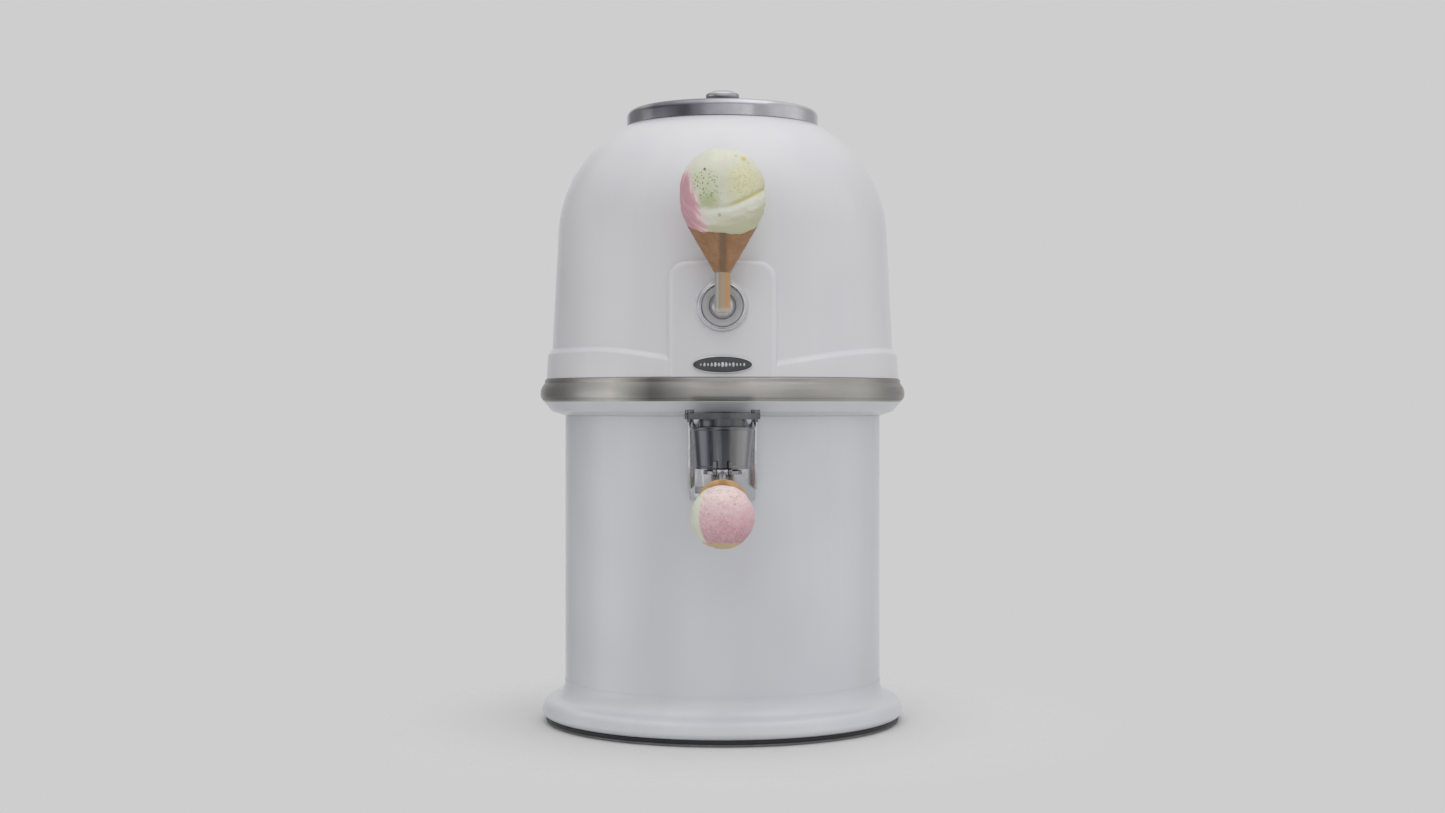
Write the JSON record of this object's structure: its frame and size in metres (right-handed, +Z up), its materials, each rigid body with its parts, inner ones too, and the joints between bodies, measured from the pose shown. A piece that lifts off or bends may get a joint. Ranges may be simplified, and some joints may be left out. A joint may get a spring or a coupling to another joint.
{
  "type": "soft serve machine",
  "caption": "Round counter-top soft serve machine with a white column and dome, steel band and lid, a cone-shaped draw handle, and a steel spout closed by a second cone-shaped gate handle.",
  "frame": {"origin": "centre of the foot ring's underside, on the machine's vertical axis", "axes": "+Z up along the column, -Y towards the user with the spout and handles, +X to the right of a viewer in front"},
  "size_m": [0.2827, 0.3851, 0.489],
  "materials": {
    "white_enamel": "gloss",
    "grey_enamel": "satin",
    "black_enamel": "satin",
    "brushed_band": "brushed",
    "polished_steel": "polished",
    "dark_chrome": "polished",
    "steel_sheet": "satin",
    "copper_tube": "satin",
    "foam": "matte",
    "food_plastic": "satin",
    "black_plastic": "matte",
    "grey_rubber": "matte",
    "black_rubber": "matte",
    "silicone": "matte",
    "badge_face": "gloss",
    "cone_plastic": "satin",
    "scoop_plastic": "satin",
    "gate_scoop_plastic": "satin",
    "board_green": "satin",
    "aluminium_fins": "satin"
  },
  "bodies": {
    "cabinet": {"foot_ring": "grey_rubber", "base_pan": "black_enamel", "base_skirt": "white_enamel", "column_shell": "white_enamel", "waist_collar": "white_enamel", "trim_band": "brushed_band", "deck_plate": "steel_sheet", "dome_housing": "white_enamel", "front_pad": "white_enamel", "badge_rim": "polished_steel", "badge_plate": "badge_face", "hopper": "steel_sheet", "freezing_cylinder": "steel_sheet", "evaporator_coil": "copper_tube", "insulation_jacket": "foam", "cylinder_stand": "steel_sheet", "front_head": "food_plastic", "head_screws": "steel_sheet", "bore_cap": "food_plastic", "rear_bearing": "steel_sheet", "drive_belt": "black_rubber", "gear_motor": "black_enamel", "motor_bracket": "steel_sheet", "compressor": "black_enamel", "compressor_grommets": "black_rubber", "condenser": "aluminium_fins", "fan_motor": "black_enamel", "control_board": "board_green", "boss_flange": "polished_steel", "boss_cup": "polished_steel", "lever_clevis": "steel_sheet", "lever_pin": "steel_sheet", "return_spring": "steel_sheet", "spout_bracket": "dark_chrome", "spout_body": "dark_chrome", "thumb_screws": "polished_steel", "spout_cup": "dark_chrome", "star_nozzle": "food_plastic", "rear_panel": "grey_enamel", "panel_screws": "steel_sheet", "power_plate": "black_plastic", "power_inlet": "black_plastic"},
    "lid": {"lid_shell": "polished_steel", "lid_seal": "silicone", "lid_knob": "polished_steel"},
    "dasher": {"dasher_auger": "steel_sheet", "scraper_blades": "food_plastic", "dasher_shaft": "steel_sheet", "driven_pulley": "aluminium_fins"},
    "motor_rotor": {"drive_pulley": "aluminium_fins", "motor_shaft": "steel_sheet"},
    "condenser_fan": {"fan_blades": "black_plastic"},
    "draw_handle": {"draw_lever": "polished_steel", "cone_grip": "cone_plastic", "scoop_grip": "scoop_plastic"},
    "plunger": {"draw_plunger": "food_plastic"},
    "gate_handle": {"gate_lever": "polished_steel", "gate_cone_grip": "cone_plastic", "gate_scoop_grip": "gate_scoop_plastic"},
    "rocker": {"power_rocker": "black_plastic"}
  },
  "joints": [
    {"name": "lid_lift", "type": "slide", "parent": "cabinet", "child": "lid", "axis": [0, 0, 1], "range_m": [0, 0.09]},
    {"name": "dasher_spin", "type": "hinge", "parent": "cabinet", "child": "dasher", "pos_m": [0, 0, 0.313], "axis": [0, 1, 0], "continuous": true},
    {"name": "motor_spin", "type": "hinge", "parent": "cabinet", "child": "motor_rotor", "pos_m": [0, 0.05, 0.19], "axis": [0, 1, 0], "continuous": true},
    {"name": "fan_spin", "type": "hinge", "parent": "cabinet", "child": "condenser_fan", "pos_m": [0, 0.066, 0.078], "axis": [0, 1, 0], "continuous": true},
    {"name": "draw_pull", "type": "hinge", "parent": "cabinet", "child": "draw_handle", "pos_m": [0, -0.134, 0.3145], "axis": [1, 0, 0], "range_deg": [0, 30], "stiffness_Nm_per_rad": 0.35, "springref_deg": -22.92},
    {"name": "plunger_lift", "type": "slide", "parent": "cabinet", "child": "plunger", "axis": [0, 0, 1], "range_m": [0, 0.0136], "deforming": ["return_spring"]},
    {"name": "gate_swing", "type": "hinge", "parent": "cabinet", "child": "gate_handle", "pos_m": [0, -0.171, 0.196], "axis": [-1, 0, 0], "range_deg": [0, 65]},
    {"name": "power_rock", "type": "hinge", "parent": "cabinet", "child": "rocker", "pos_m": [0.02, 0.124, 0.051], "axis": [-1, 0, 0], "range_deg": [0, 20]}
  ],
  "couplings": [
    {"joint": "motor_spin", "follows": "dasher_spin", "ratio": 3},
    {"joint": "plunger_lift", "follows": "draw_pull", "m_per_rad": 0.0258}
  ]
}
